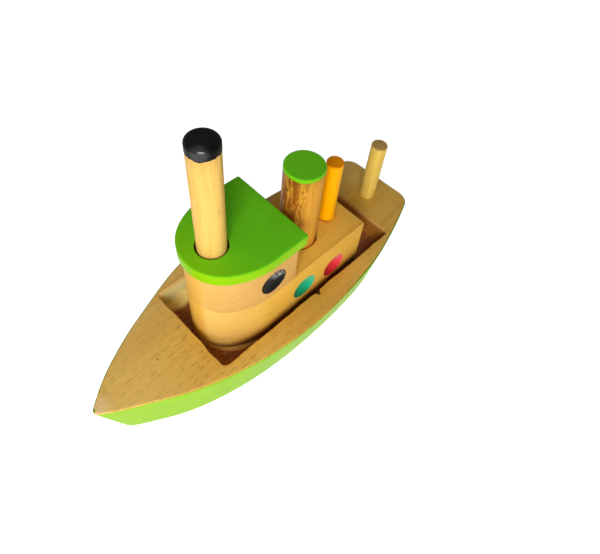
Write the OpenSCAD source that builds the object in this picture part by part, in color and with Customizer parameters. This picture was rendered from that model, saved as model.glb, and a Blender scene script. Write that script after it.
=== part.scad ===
// Wooden toy boat with a lift-out cabin, a loose funnel and a loose dowel.
// Millimetres. +X points to the bow, +Y to port, +Z up. The origin lies on the underside of the
// hull, below the middle of its length.

/* [Hull] */
// Length of the hull from transom to stem
hull_l = 188; // [150:1:260]
// Greatest beam at the deck
hull_beam = 72; // [60:0.5:110]
// Height of the hull block
hull_h = 34; // [26:0.5:60]
// Length from the transom to the greatest beam
aft_l = 86; // [60:1:110]
// Width of the transom at the deck, measured to its unrounded corners
transom_w = 42.5; // [30:0.5:60]
// How far the transom's middle lies to port of the centre line, as sawn by hand
stern_off = -2; // [-4:0.1:4]
// How far the sides draw in from deck to bottom
flare = 5; // [2:0.1:7]
// Radius of the two transom corners at the deck
corner_r = 8; // [8:0.5:14]
// Width of the flat sanded on the stem
stem_flat = 2.4; // [1:0.1:5]
// Eased deck and bottom edges
hull_ease = 0.8; // [0.3:0.1:2]

/* [Well] */
// Depth of the well below the deck
well_depth = 12; // [8:0.5:20]
// Radius of the cutter that milled the well's corners
well_r = 3.5; // [2:0.5:8]
// Gap between the cabin's sides and the well
gap_side = 4.2; // [2:0.1:8]
// Gap between the cabin's nose and the well
gap_fore = 4.6; // [1:0.1:8]
// Space left behind the cabin
gap_aft = 19.5; // [8:0.1:40]
// Thinnest wood left beside the well's floor
well_wall = 0.95; // [0.4:0.05:10]
// How far the well's middle lies to port of the centre line
well_y = 0.4; // [-2:0.1:2]
// Angle by which the well was milled out of true, its fore end to starboard
skew = -2.2; // [-4:0.1:0]

/* [Cabin] */
// Width of the deckhouse and the wheelhouse
cabin_w = 40; // [30:0.5:50]
// Length of the deckhouse
deckhouse_l = 87; // [75:0.1:110]
// Height of the deckhouse block
deckhouse_h = 32; // [24:0.5:50]
// Length of the wheelhouse
wheelhouse_l = 40; // [38:0.1:60]
// Height of the wheelhouse block
wheelhouse_h = 23.5; // [18:0.5:40]
// Length of the rounded front
nose_l = 25.6; // [21:0.1:29]
// Radius where the front leaves the straight sides
shoulder_r = 32; // [30:0.5:45]
// Eased edges of the two blocks
block_ease = 0.3; // [0.1:0.1:1]

/* [Roof] */
// Thickness of the roof board
roof_t = 6; // [4:0.5:10]
// Overhang at the front and the sides
roof_over = 1.5; // [0:0.1:4]
// Overhang at the back
roof_over_aft = 3; // [0:0.1:6]
// Eased edges of the roof
roof_ease = 0.6; // [0.1:0.1:1.5]

/* [Portholes] */
// Diameter of each dished porthole
port_d = 13.6; // [8:0.1:16]
// Depth of each dish
port_depth = 2.4; // [1:0.1:4]
// Height of the fore deckhouse porthole above the block's foot
port_fore_z = 16.7; // [10:0.1:26]
// Height of the aft deckhouse porthole above the block's foot
port_aft_z = 14.6; // [10:0.1:26]
// Fore deckhouse porthole, from the block's aft face
port_fore_x = 39.9; // [30:0.1:50]
// Aft deckhouse porthole, from the block's aft face
port_aft_x = 19.3; // [10:0.1:26]
// Wheelhouse porthole, from the wheelhouse's aft face
port_wheel_x = 13.8; // [8:0.1:20]
// Height of the wheelhouse porthole above the block's foot
port_wheel_z = 10.6; // [9:0.1:14]

/* [Funnel] */
// Diameter of the funnel
funnel_d = 12; // [8:0.5:16]
// Length of the funnel
funnel_l = 78.5; // [40:0.5:100]
// Depth of its bore below the roof's top
funnel_seat = 24; // [12:0.5:28]
// Distance of its axis behind the cabin's nose
funnel_back = 11.1; // [9:0.1:20]
// Gap round the funnel in its bore
funnel_gap = 0.7; // [0.3:0.1:1.5]

/* [Loose dowel] */
// Diameter of the green-topped dowel
loose_d = 18; // [12:0.1:20]
// Length of the green-topped dowel
loose_l = 65.5; // [40:0.5:90]
// Depth of its bore
loose_seat = 20; // [10:0.5:28]
// Its axis, from the deckhouse's aft face
loose_x = 29.6; // [24:0.1:34]
// Its axis, to port of the cabin's centre line
loose_y = 2.7; // [-3:0.1:4]
// Gap round the dowel in its bore
loose_gap = 0.6; // [0.3:0.1:1.5]

/* [Pegs] */
// Diameter of the orange peg
orange_d = 8; // [5:0.1:10]
// Length of the orange peg above the deckhouse
orange_up = 35.5; // [20:0.5:60]
// Depth of its bore
orange_seat = 14; // [8:0.5:24]
// Wood left between its bore and the loose dowel's bore
orange_wall = 5.8; // [0.8:0.1:8]
// Direction from the loose dowel to it, turned from straight aft to port
orange_turn = 2; // [0:1:50]
// Diameter of the stern peg
stern_d = 8.4; // [5:0.1:12]
// Length of the stern peg above the deck
stern_up = 37; // [20:0.5:60]
// Depth of its bore
stern_seat = 14; // [8:0.5:24]
// Its axis, from the transom
stern_x = 14.9; // [9:0.1:18]
// Its axis, to port of the centre line
stern_y = 1.3; // [-4:0.1:4]
// Eased ends of every peg and dowel
peg_ease = 0.8; // [0.3:0.1:1.5]

/* [Glued joints] */
// Diameter of the dowels between deckhouse and wheelhouse
dowel_d = 6; // [4:0.5:8]
// Length of the dowels between deckhouse and wheelhouse
dowel_l = 22; // [14:1:30]
// Distance of these dowels from the centre line
dowel_y = 11; // [6:0.5:13]
// Distance of these dowels in front of the wheelhouse's aft face
dowel_x = 14; // [6:0.5:16]
// Diameter of the dowels that hold the roof
roof_dowel_d = 4; // [3:0.5:5]
// Length of the dowels that hold the roof
roof_dowel_l = 12; // [8:0.5:16]
// How far the roof's dowels reach into the roof
roof_dowel_in = 4; // [2:0.5:5]
// Distance of the roof's dowels in front of the wheelhouse's aft face
roof_dowel_x = 6; // [4:0.5:8]
// Distance of the roof's dowels from the centre line
roof_dowel_y = 12; // [6:0.5:15]
// Glue gap round each fixed peg and dowel
glue_gap = 0.05; // [0.02:0.01:0.1]
// Glue pocket at the end of each fixed peg and dowel
glue_end = 0.5; // [0.2:0.1:0.9]

/* [Hidden] */

green = [0.62, 0.84, 0.28];
roof_green = [0.33, 0.62, 0.10];
beech = [0.86, 0.68, 0.40];
beech_pale = [0.95, 0.78, 0.52];
beech_warm = [0.85, 0.62, 0.30];
orange = [1.00, 0.65, 0.08];

// Overshoot of a cutter past the face it cuts
past = 1;
// How far a corner's disc stands proud of the faces it rounds, so that they cross cleanly
cross = 0.1;
// Facets on the long curves of the hull, on the cabin's front and on round pieces
hull_fn = 240;
front_fn = 120;
round_fn = 64;
// Steps in the section of a porthole's dish
dish_steps = 8;

// Hull outline at the deck, with x measured from midships
stern_at = -hull_l / 2;
bow_at = hull_l / 2;
beam_x = stern_at + aft_l;
half_beam = hull_beam / 2;
half_stem = stem_flat / 2;
fore_rise = half_beam - half_stem;
fore_r = (pow(bow_at - beam_x, 2) + pow(fore_rise, 2)) / (2 * fore_rise);

// Curve of one side behind the greatest beam: side is 1 to port and -1 to starboard
function aft_rise(side) = half_beam - transom_w / 2 - side * stern_off;
function aft_r(side) = (pow(aft_l, 2) + pow(aft_rise(side), 2)) / (2 * aft_rise(side));

// Centre of a transom corner, whose disc touches the transom and that side, as if it lay to port
corner_x = stern_at + corner_r;
function corner_y(side) =
    sqrt(pow(aft_r(side) - corner_r, 2) - pow(beam_x - corner_x, 2)) - (aft_r(side) - half_beam);

// Stem at the bottom of the hull
stem_foot = beam_x + sqrt(pow(fore_r - flare, 2) - pow(fore_r - half_beam + half_stem, 2));

// Well, in its own frame: centred on it and turned by the skew
well_w = cabin_w + 2 * gap_side;
well_l = gap_aft + deckhouse_l + gap_fore;
well_z = hull_h - well_depth;

// The well lies as far forward as the starboard side allows, at its tight fore corner
tight_x = well_l / 2 - well_r;
tight_y = well_w / 2 - well_r;
tight_side = -tight_x * sin(skew) + tight_y * cos(skew) - well_y;
floor_r = fore_r - flare * well_depth / hull_h;
tight_reach = floor_r - well_wall - well_r;
tight_at = beam_x + sqrt(pow(tight_reach, 2) - pow(fore_r - half_beam + tight_side, 2));
well_x = tight_at - tight_x * cos(skew) - tight_y * sin(skew);

// Rounded front shared by the cabin's blocks and the roof: two shoulders and a nose, all touching
half_cabin = cabin_w / 2;
nose_r = (pow(shoulder_r, 2) - pow(nose_l, 2) - pow(shoulder_r - half_cabin, 2))
    / (2 * (shoulder_r - nose_l));

// Cabin, in the well's frame
cabin_aft = -well_l / 2 + gap_aft;
cabin_fore = cabin_aft + deckhouse_l;
wheel_aft = cabin_fore - wheelhouse_l;
deckhouse_top = well_z + deckhouse_h;
wheelhouse_top = deckhouse_top + wheelhouse_h;
roof_top = wheelhouse_top + roof_t;
shoulder_x = cabin_fore - nose_l;
nose_x = cabin_fore - nose_r;
funnel_x = cabin_fore - funnel_back;
loose_at = [cabin_aft + loose_x, loose_y];
orange_off = loose_d / 2 + loose_gap + orange_wall + orange_d / 2 + glue_gap;
orange_at = loose_at + orange_off * [-cos(orange_turn), sin(orange_turn)];
dowel_foot = deckhouse_top - dowel_l / 2;
roof_dowel_foot = wheelhouse_top + roof_dowel_in - roof_dowel_l;

module in_well() {
    translate([well_x, well_y, 0]) rotate([0, 0, skew]) children();
}

// Section of the hull's side at distance r from the centre of its curve
function side_profile(r) = [
    [0, 0], [r - flare - hull_ease, 0], [r - flare, hull_ease],
    [r, hull_h - hull_ease], [r - hull_ease, hull_h], [0, hull_h]
];

module side_disc(x, y, r) {
    translate([x, y, 0]) rotate_extrude($fn = hull_fn) polygon(side_profile(r));
}

// The shape between a port and a starboard curve that share one greatest beam
module side_pair(port_r, starboard_r) {
    intersection() {
        side_disc(beam_x, half_beam - port_r, port_r);
        side_disc(beam_x, starboard_r - half_beam, starboard_r);
    }
}

module ends_block() {
    rotate([90, 0, 0]) linear_extrude(hull_beam, center = true) polygon([
        [stern_at + flare + hull_ease, 0], [stern_at + flare, hull_ease],
        [stern_at, hull_h - hull_ease], [stern_at + hull_ease, hull_h],
        [bow_at - hull_ease, hull_h], [bow_at, hull_h - hull_ease],
        [stem_foot, hull_ease], [stem_foot - hull_ease, 0]
    ]);
}

// What a transom corner loses outside its rounding disc, as if it lay to port
module corner_waste(side) {
    spoke = [corner_x - beam_x, corner_y(side) + aft_r(side) - half_beam];
    out = spoke / norm(spoke) * corner_r * 2;
    difference() {
        translate([corner_x, corner_y(side), -past]) linear_extrude(hull_h + 2 * past) polygon([
            [0, 0], out, out - [corner_r * 2, 0], [-corner_r * 2, 0]
        ]);
        side_disc(corner_x, corner_y(side), corner_r + cross);
    }
}

module hull_block() {
    difference() {
        intersection() {
            union() {
                intersection() {
                    side_pair(fore_r, fore_r);
                    translate([beam_x, -half_beam, 0]) cube([hull_l, hull_beam, hull_h]);
                }
                intersection() {
                    side_pair(aft_r(1), aft_r(-1));
                    translate([beam_x - hull_l, -half_beam, 0]) cube([hull_l, hull_beam, hull_h]);
                }
            }
            ends_block();
        }
        corner_waste(1);
        mirror([0, 1, 0]) corner_waste(-1);
    }
}

module round_corner_block(l, w, h, r) {
    translate([-l / 2 + r, -w / 2, 0]) cube([l - 2 * r, w, h]);
    translate([-l / 2, -w / 2 + r, 0]) cube([l, w - 2 * r, h]);
    for (sx = [-1, 1], sy = [-1, 1])
        translate([sx * (l / 2 - r), sy * (w / 2 - r), 0]) cylinder(r = r, h = h, $fn = round_fn);
}

module hull() {
    color(green) difference() {
        hull_block();
        in_well() translate([0, 0, well_z])
            round_corner_block(well_l, well_w, well_depth + past, well_r);
        open_bore(stern_at + stern_x, stern_y, hull_h, stern_d + 2 * glue_gap, stern_seat);
    }
}

module peg(d, l) {
    r = d / 2;
    rotate_extrude($fn = round_fn) polygon([
        [0, 0], [r - peg_ease, 0], [r, peg_ease], [r, l - peg_ease], [r - peg_ease, l], [0, l]
    ]);
}

module bore(x, y, z, d, h) {
    translate([x, y, z]) cylinder(d = d, h = h, $fn = round_fn);
}

// A bore that opens upwards at height top
module open_bore(x, y, top, d, depth) {
    bore(x, y, top - depth, d, depth + past);
}

module stern_peg() {
    color(beech_pale) translate([stern_at + stern_x, stern_y, hull_h - stern_seat + glue_end])
        peg(stern_d, stern_seat - glue_end + stern_up);
}

// A square-cornered section with eased edges, from x0 to x1
function eased(x0, x1, h, ease) = [
    [x0 + ease, 0], [x1 - ease, 0], [x1, ease], [x1, h - ease],
    [x1 - ease, h], [x0 + ease, h], [x0, h - ease], [x0, ease]
];

module eased_disc(x, y, r, h, ease) {
    translate([x, y, 0]) rotate_extrude($fn = front_fn)
        polygon([[0, 0], [r - ease, 0], [r, ease], [r, h - ease], [r - ease, h], [0, h]]);
}

// A block with straight sides from its aft face to the shoulders and the rounded front
module front_block(aft, h, ease, over = 0) {
    half = half_cabin + over;
    shoulder = shoulder_r + over;
    meet_x = shoulder_x + (nose_x - shoulder_x) * shoulder / (shoulder_r - nose_r);
    intersection() {
        translate([aft, 0, 0]) rotate([90, 0, 90]) linear_extrude(shoulder_x - aft)
            polygon(eased(-half, half, h, ease));
        rotate([90, 0, 0]) linear_extrude(2 * half + past, center = true)
            polygon(eased(aft, cabin_fore, h, ease));
    }
    intersection() {
        intersection_for(side = [-1, 1])
            eased_disc(shoulder_x, side * (half - shoulder), shoulder, h, ease);
        translate([shoulder_x, -half, 0]) cube([meet_x - shoulder_x, 2 * half, h]);
    }
    eased_disc(nose_x, 0, nose_r + over, h, ease);
}

// Cutter for a dished porthole on both sides of the cabin
module portholes(x, z) {
    rim = port_d / 2;
    dish_r = (pow(rim, 2) + pow(port_depth, 2)) / (2 * port_depth);
    steps = [0 : asin(rim / dish_r) / dish_steps : asin(rim / dish_r)];
    for (side = [-1, 1])
        translate([x, side * half_cabin, z]) rotate([-90 * side, 0, 0])
            rotate_extrude($fn = round_fn) polygon(concat(
                [for (a = steps) [dish_r * sin(a), dish_r * (1 - cos(a)) - port_depth]],
                [[rim, past], [0, past]]
            ));
}

// Cutter for the bores of the dowels between deckhouse and wheelhouse
module dowel_bores() {
    for (side = [-1, 1])
        bore(wheel_aft + dowel_x, side * dowel_y, dowel_foot - glue_end,
            dowel_d + 2 * glue_gap, dowel_l + 2 * glue_end);
}

// Cutter for the bores of the dowels that hold the roof
module roof_dowel_bores() {
    for (side = [-1, 1])
        bore(wheel_aft + roof_dowel_x, side * roof_dowel_y, roof_dowel_foot - glue_end,
            roof_dowel_d + 2 * glue_gap, roof_dowel_l + 2 * glue_end);
}

module funnel_bore() {
    open_bore(funnel_x, 0, roof_top, funnel_d + 2 * funnel_gap, funnel_seat);
}

module deckhouse() {
    color(beech_warm) in_well() difference() {
        translate([0, 0, well_z]) front_block(cabin_aft, deckhouse_h, block_ease);
        open_bore(loose_at.x, loose_at.y, deckhouse_top, loose_d + 2 * loose_gap, loose_seat);
        open_bore(orange_at.x, orange_at.y, deckhouse_top, orange_d + 2 * glue_gap, orange_seat);
        dowel_bores();
        portholes(cabin_aft + port_fore_x, well_z + port_fore_z);
        portholes(cabin_aft + port_aft_x, well_z + port_aft_z);
    }
}

module wheelhouse() {
    color(beech_pale) in_well() difference() {
        translate([0, 0, deckhouse_top]) front_block(wheel_aft, wheelhouse_h, block_ease);
        funnel_bore();
        dowel_bores();
        roof_dowel_bores();
        portholes(wheel_aft + port_wheel_x, deckhouse_top + port_wheel_z);
    }
}

module roof() {
    color(roof_green) in_well() difference() {
        translate([0, 0, wheelhouse_top])
            front_block(wheel_aft - roof_over_aft, roof_t, roof_ease, roof_over);
        funnel_bore();
        roof_dowel_bores();
    }
}

module orange_peg() {
    color(orange) in_well()
        translate([orange_at.x, orange_at.y, deckhouse_top - orange_seat + glue_end])
            peg(orange_d, orange_seat - glue_end + orange_up);
}

module funnel() {
    color(beech_pale) in_well()
        translate([funnel_x, 0, roof_top - funnel_seat]) peg(funnel_d, funnel_l);
}

module loose_dowel() {
    color(beech_warm) in_well()
        translate([loose_at.x, loose_at.y, deckhouse_top - loose_seat]) peg(loose_d, loose_l);
}

module cabin_dowels() {
    color(beech) in_well() for (side = [-1, 1])
        translate([wheel_aft + dowel_x, side * dowel_y, dowel_foot]) peg(dowel_d, dowel_l);
}

module roof_dowels() {
    color(beech) in_well() for (side = [-1, 1])
        translate([wheel_aft + roof_dowel_x, side * roof_dowel_y, roof_dowel_foot])
            peg(roof_dowel_d, roof_dowel_l);
}

hull();
stern_peg();
deckhouse();
wheelhouse();
roof();
orange_peg();
funnel();
loose_dowel();
cabin_dowels();
roof_dowels();
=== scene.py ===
"""A painted wooden toy boat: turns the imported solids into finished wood, paint and lacquer.

Shapes are drawn in millimetres, with x towards the bow, y to port and z up.
"""

import math
from collections import namedtuple

import bmesh
import bpy
from bpy.props import FloatProperty, FloatVectorProperty, PointerProperty
from mathutils import Matrix, Vector, noise
from mathutils.geometry import delaunay_2d_cdt


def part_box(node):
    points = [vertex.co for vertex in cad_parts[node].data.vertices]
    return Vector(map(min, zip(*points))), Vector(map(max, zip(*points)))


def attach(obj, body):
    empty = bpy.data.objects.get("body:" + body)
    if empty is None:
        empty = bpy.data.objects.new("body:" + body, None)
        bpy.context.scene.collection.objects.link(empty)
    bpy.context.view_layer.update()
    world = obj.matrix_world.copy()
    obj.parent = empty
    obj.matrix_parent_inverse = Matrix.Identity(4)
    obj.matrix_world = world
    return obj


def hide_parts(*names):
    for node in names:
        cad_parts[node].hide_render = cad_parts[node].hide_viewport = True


bl_info = {
    "name": "Wooden Toy Boat",
    "version": (1, 0, 0),
    "blender": (4, 5, 0),
    "location": "View3D > Sidebar > Toy Boat",
    "description": "Builds the looks of a painted wooden toy boat on its solids",
    "category": "Object",
}

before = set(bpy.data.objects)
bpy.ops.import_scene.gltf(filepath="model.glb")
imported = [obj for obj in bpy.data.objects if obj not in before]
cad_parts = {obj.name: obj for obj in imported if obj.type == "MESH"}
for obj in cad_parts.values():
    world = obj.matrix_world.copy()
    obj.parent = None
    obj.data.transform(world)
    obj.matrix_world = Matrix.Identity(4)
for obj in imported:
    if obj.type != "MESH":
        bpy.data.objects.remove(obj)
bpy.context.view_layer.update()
MM = 0.001
TURN = 2 * math.pi
RIGHT_ANGLE = math.pi / 2


# ---------------------------------------------------------------- settings


def length(name, size, description):
    """A size that a user may change, given in millimetres and kept in metres."""
    return FloatProperty(
        name=name, description=description, default=size * MM, soft_min=0.0, precision=5, unit="LENGTH",
        subtype="DISTANCE"
    )


def wall_spot(name, house, along, up):
    """A place on the side of a block, given in millimetres and kept in metres."""
    return FloatVectorProperty(
        name=name,
        description=f"Its distance from the {house}'s aft face and its height above the foot",
        default=(along * MM, up * MM),
        size=2,
        unit="LENGTH",
    )


def linear(*rgb):
    """A colour as a picture shows it, 0 to 255, in the renderer's linear values, by the sRGB curve."""
    return tuple(c / 255 / 12.92 if c <= 10 else ((c / 255 + 0.055) / 1.055) ** 2.4 for c in rgb)


def colour(name, rgb, description):
    """A colour that a user may change."""
    return FloatVectorProperty(
        name=name, description=description, default=linear(*rgb), size=3, min=0.0, max=1.0, subtype="COLOR"
    )


def power(name, watts, description):
    """The strength of a lamp."""
    return FloatProperty(name=name, description=description, default=watts, unit="POWER")


class BoatHullSizes(bpy.types.PropertyGroup):
    """Sizes of the hull and its well."""

    hull_l: length("Length", 188, "Length of the hull from transom to stem")
    beam: length("Beam", 72, "Greatest beam at the deck")
    height: length("Height", 34, "Height of the hull block")
    aft_l: length("Aft length", 86, "Length from the transom to the greatest beam")
    transom_w: length("Transom", 42.5, "Width of the transom, measured to its unrounded corners")
    stern_off: length("Transom offset", -2, "How far the transom's middle lies to port")
    flare: length("Flare", 5, "How far the sides draw in from deck to bottom")
    corner_r: length("Transom corners", 8, "Radius of the two transom corners")
    stem_flat: length("Stem", 2.4, "Width of the flat sanded on the stem")
    stem_r: length("Stem rounding", 2, "Radius of the stem, rounded by hand")
    ease: length("Eased edges", 0.8, "Rounding of the deck edge and the bottom edge")
    well_l: length("Well length", 111.1, "Length of the well")
    well_w: length("Well width", 48.4, "Width of the well")
    well_depth: length("Well depth", 12, "Depth of the well below the deck")
    well_x: length("Well forward", -10.6935, "How far the middle of the well lies forward of midships")
    well_y: length("Well to port", 0.4, "How far the middle of the well lies to port")
    skew: FloatProperty(
        name="Well skew",
        description="Angle by which the well and the cabin lie out of true",
        default=math.radians(-2.2),
        subtype="ANGLE",
    )


class BoatCabinSizes(bpy.types.PropertyGroup):
    """Sizes of the deckhouse, the wheelhouse and the roof."""

    width: length("Width", 40, "Width of the deckhouse and the wheelhouse")
    deckhouse_l: length("Deckhouse length", 87, "Length of the deckhouse")
    wheelhouse_l: length("Wheelhouse length", 40, "Length of the wheelhouse")
    fore_x: length("Nose", 50.95, "Where the nose lies, forward of the middle of the well")
    nose_l: length("Nose length", 25.6, "Length of the rounded front")
    shoulder_r: length("Shoulder radius", 32, "Radius where the front leaves the straight sides")
    nose_r: length("Nose radius", 17.55, "Radius of the nose")
    roof_t: length("Roof thickness", 6, "Thickness of the roof board")
    roof_over: length("Roof overhang", 1.5, "Overhang at the front and the sides")
    roof_aft: length("Roof overhang aft", 3, "Overhang at the back")
    port_d: length("Porthole", 13.6, "Diameter of each dished porthole")
    port_depth: length("Porthole depth", 2.4, "Depth of each dish")
    port_fore: wall_spot("Fore porthole", "deckhouse", 39.9, 16.7)
    port_aft: wall_spot("Aft porthole", "deckhouse", 19.3, 14.6)
    port_wheel: wall_spot("Wheelhouse porthole", "wheelhouse", 13.8, 10.6)
    funnel_back: length("Funnel bore", 11.1, "Distance of the funnel's axis behind the nose")
    funnel_bore: length("Funnel bore width", 13.4, "Diameter of the funnel's bore")
    funnel_seat: length("Funnel bore depth", 24, "Depth of the funnel's bore below the roof's top")
    loose_bore: length("Dowel bore width", 19.2, "Diameter of the loose dowel's bore")
    loose_seat: length("Dowel bore depth", 20, "Depth of the loose dowel's bore")


class BoatColours(bpy.types.PropertyGroup):
    """Colours of the bare wood and the paint."""

    deck: colour("Deck", (224, 181, 84), "Varnished beech of the deck")
    deck_dark: colour("Deck, dark", (206, 155, 60), "Darker grain of the deck")
    # The well's walls and floor are one raw wood: the walls are paler as painted light, the floor darker and
    # redder as stain and painted shade.
    well: colour("Well floor", (182, 114, 64), "Stained floor of the well")
    well_wall: colour("Well wall", (255, 246, 170), "Raw sawn wood of the well's walls")
    cabin: colour("Deckhouse", (246, 201, 86), "Varnished beech of the deckhouse")
    cabin_dark: colour("Deckhouse, dark", (226, 168, 62), "Darker grain of the deckhouse")
    wheel: colour("Wheelhouse", (248, 206, 122), "Paler beech of the wheelhouse")
    wheel_dark: colour("Wheelhouse, dark", (236, 184, 98), "Darker grain of the wheelhouse")
    pale: colour("Pale beech", (247, 200, 106), "Pale beech of the funnel")
    streak: colour("Streaks", (132, 56, 10), "Reddish streaks of the loose dowel")
    hull_paint: colour("Hull paint", (146, 194, 6), "Light green of the hull's sides")
    roof_top: colour("Roof paint", (102, 196, 26), "Green of the roof and the loose dowel's top")
    roof_edge: colour("Roof edge", (142, 200, 3), "Light green of the roof's edge")
    turquoise: colour("Turquoise", (26, 176, 126), "Fore porthole")
    red: colour("Red", (240, 56, 66), "Aft porthole")
    black: colour("Black", (12, 12, 10), "Wheelhouse porthole and the funnel's top")
    orange: colour("Orange", (255, 178, 4), "Orange peg")


class BoatStageSettings(bpy.types.PropertyGroup):
    """Lamps and floor."""

    key_power: power("Key lamp", 1.4, "Strength of the main lamp")
    fill_power: power("Fill lamp", 0.9, "Strength of the low soft lamp")
    stern_power: power("Stern lamp", 0.1, "Strength of the lamp on the port quarter")
    bow_power: power("Bow lamp", 0.22, "Strength of the lamp to starboard of the bow")
    sky: FloatProperty(name="Sky", description="Strength of the light from all round", default=0.15)
    floor: colour("Floor", (244, 244, 244), "Colour of the floor")


def settings_of(scene):
    """The sizes of the hull and the cabin, and the colours."""
    return scene.boat_hull, scene.boat_cabin, scene.boat_colours


def mm(value):
    """A size in metres as millimetres, which the shapes are drawn in."""
    return value / MM


# ---------------------------------------------------------------- shapes

SAME_PLACE = 1e-5  # points of a plate closer than this are one


def each(value, count):
    """The value itself if it is a list, or else a list that repeats it."""
    return value if isinstance(value, (list, tuple)) else [value] * count


class Shape:
    """The points and faces of one piece, with a finish for each face and a wear value for each point."""

    def __init__(self):
        self.points, self.wear, self.faces, self.finish = [], [], [], []

    def ring(self, points, wear=0.0):
        """Adds points, given as (x, y, z), and returns their numbers."""
        first = len(self.points)
        self.points.extend(Vector(p) for p in points)
        self.wear.extend(each(wear, len(self.points) - first))
        return list(range(first, len(self.points)))

    def circle(self, x, y, r, z, count):
        """Adds a level ring round an axis."""
        return self.ring([(*p, z) for p in arc(x, y, r, 0, TURN, count, False)])

    def face(self, corners, finish=0):
        """Adds a face, unless it has shrunk to a line."""
        if len(set(corners)) > 2:
            self.faces.append(tuple(corners))
            self.finish.append(finish)

    def bridge(self, a, b, finish=0):
        """Joins two rings of equal count. finish is one number or one for each face."""
        count = len(a)
        for i, number in enumerate(each(finish, count)):
            j = (i + 1) % count
            self.face((a[i], a[j], b[j], b[i]), number)

    def skin(self, rings, finish=0):
        """Joins each ring to the next."""
        for a, b in zip(rings, rings[1:]):
            self.bridge(a, b, finish)

    def fan(self, ring, centre, finish=0):
        """Closes a ring with a point in its middle."""
        (tip,) = self.ring([centre])
        for i in range(len(ring)):
            self.face((ring[i], ring[(i + 1) % len(ring)], tip), finish)

    def plate(self, rim, holes=(), finish=0, flat=lambda p: (p.x, p.y), inner=(), lift=None):
        """Fills the area inside the closed ring rim and outside the rings in holes. flat gives a point's
        place on the plate; inner are further places on it, which lift turns into points."""
        loops = [rim, *holes]
        outlines = [[Vector(flat(self.points[n])) for n in loop] for loop in loops]

        def filled(place):
            return inside(place, outlines[0]) and not any(inside(place, hole) for hole in outlines[1:])

        edges, start = [], 0
        for loop in loops:
            edges += [(start + i, start + (i + 1) % len(loop)) for i in range(len(loop))]
            start += len(loop)
        fresh = [Vector(q) for q in inner if filled(q)]
        numbers = [n for loop in loops for n in loop] + self.ring([lift(q.x, q.y) for q in fresh])
        places = [place for outline in outlines for place in outline] + fresh
        spots, _, faces, sources, _, _ = delaunay_2d_cdt(places, edges, [], 0, SAME_PLACE)
        if not all(sources):
            raise ValueError("the outlines of a plate cross each other")
        for corners in faces:
            if filled(sum((spots[c] for c in corners), Vector((0, 0))) / len(corners)):
                self.face([numbers[sources[c][0]] for c in corners], finish)

    def build(self, name, finishes):
        """Makes the mesh object, in metres, with smooth shading."""
        mesh = bpy.data.meshes.new(name)
        mesh.from_pydata([p * MM for p in self.points], [], self.faces)
        for finish in finishes:
            mesh.materials.append(finish)
        mesh.polygons.foreach_set("material_index", self.finish)
        mesh.polygons.foreach_set("use_smooth", [True] * len(mesh.polygons))
        wear = mesh.attributes.new("wear", "FLOAT", "POINT")
        wear.data.foreach_set("value", self.wear)
        work = bmesh.new()
        work.from_mesh(mesh)
        bmesh.ops.recalc_face_normals(work, faces=work.faces)
        work.to_mesh(mesh)
        work.free()
        mesh.update()
        piece = bpy.data.objects.new(name, mesh)
        bpy.context.scene.collection.objects.link(piece)
        return piece


def inside(place, outline):
    """True if the place lies inside the closed outline."""
    x, y = place[0], place[1]
    found = False
    for a, b in zip(outline, outline[1:] + outline[:1]):
        if (a[1] > y) != (b[1] > y) and x < (b[0] - a[0]) * (y - a[1]) / (b[1] - a[1]) + a[0]:
            found = not found
    return found


def arc(cx, cy, r, start, end, count, last=True):
    """Points on an arc, angles in radians. Without its last point, the arc still has the same spacing."""
    steps = count - 1 if last else count
    angles = [start + (end - start) * i / steps for i in range(count)]
    return [(cx + r * math.cos(a), cy + r * math.sin(a)) for a in angles]


def straight(a, b, count):
    """Points on a line from a, without its end b."""
    return [(a[0] + (b[0] - a[0]) * i / count, a[1] + (b[1] - a[1]) * i / count) for i in range(count)]


def quarter(steps):
    """Pairs (into, up) that lead round a quarter circle from (0, 0) to (1, 1)."""
    angles = [RIGHT_ANGLE * i / steps for i in range(steps + 1)]
    return [(1 - math.cos(a), math.sin(a)) for a in angles]


def smooth(low, high, value):
    """A soft step from 0 at low to 1 at high."""
    t = min(1.0, max(0.0, (value - low) / (high - low)))
    return t * t * (3 - 2 * t)


def swell(x, centre, width):
    """A soft hump of height 1 at the centre."""
    return math.exp(-(((x - centre) / width) ** 2))


def ripple(x, y, z=0.0, scale=1.0, amount=1.0):
    """Even, repeatable unevenness of handwork."""
    return noise.noise(Vector((x * scale, y * scale, z * scale))) * amount


def well_place(hull, x, y):
    """A place in the well's own frame, in the frame of the boat."""
    c, s = math.cos(hull.skew), math.sin(hull.skew)
    return mm(hull.well_x) + x * c - y * s, mm(hull.well_y) + x * s + y * c


Round = namedtuple("Round", "x y r foot top length")


def round_node(node):
    """The measures of a round CAD node that stands upright."""
    low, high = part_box(node)
    x, y, r = mm(low.x + high.x) / 2, mm(low.y + high.y) / 2, mm(high.x - low.x) / 2
    return Round(x, y, r, mm(low.z), mm(high.z), mm(high.z - low.z))


# ---------------------------------------------------------------- finishes

BARE_SHINE, PAINT_SHINE, COAT_ROUGH = 0.05, 0.035, 0.2
WAVE_RINGS = 20  # at scale 1 the wave texture has 20 rings in 2 pi millimetres
ALONG_X, ALONG_Z = (0.06, 1.9, 1.9), (1.9, 1.9, 0.06)  # squash of a noise that makes fibres
RUBBED_AND_LIT, GLINT = (250, 222, 140), (190, 188, 176)  # colours of used edges, rubbed and with a painted highlight, and of painted glints, 0 to 255


def shaded(shade, factor):
    """A colour with each of its values times the factor."""
    return tuple(c * factor for c in shade)


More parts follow.
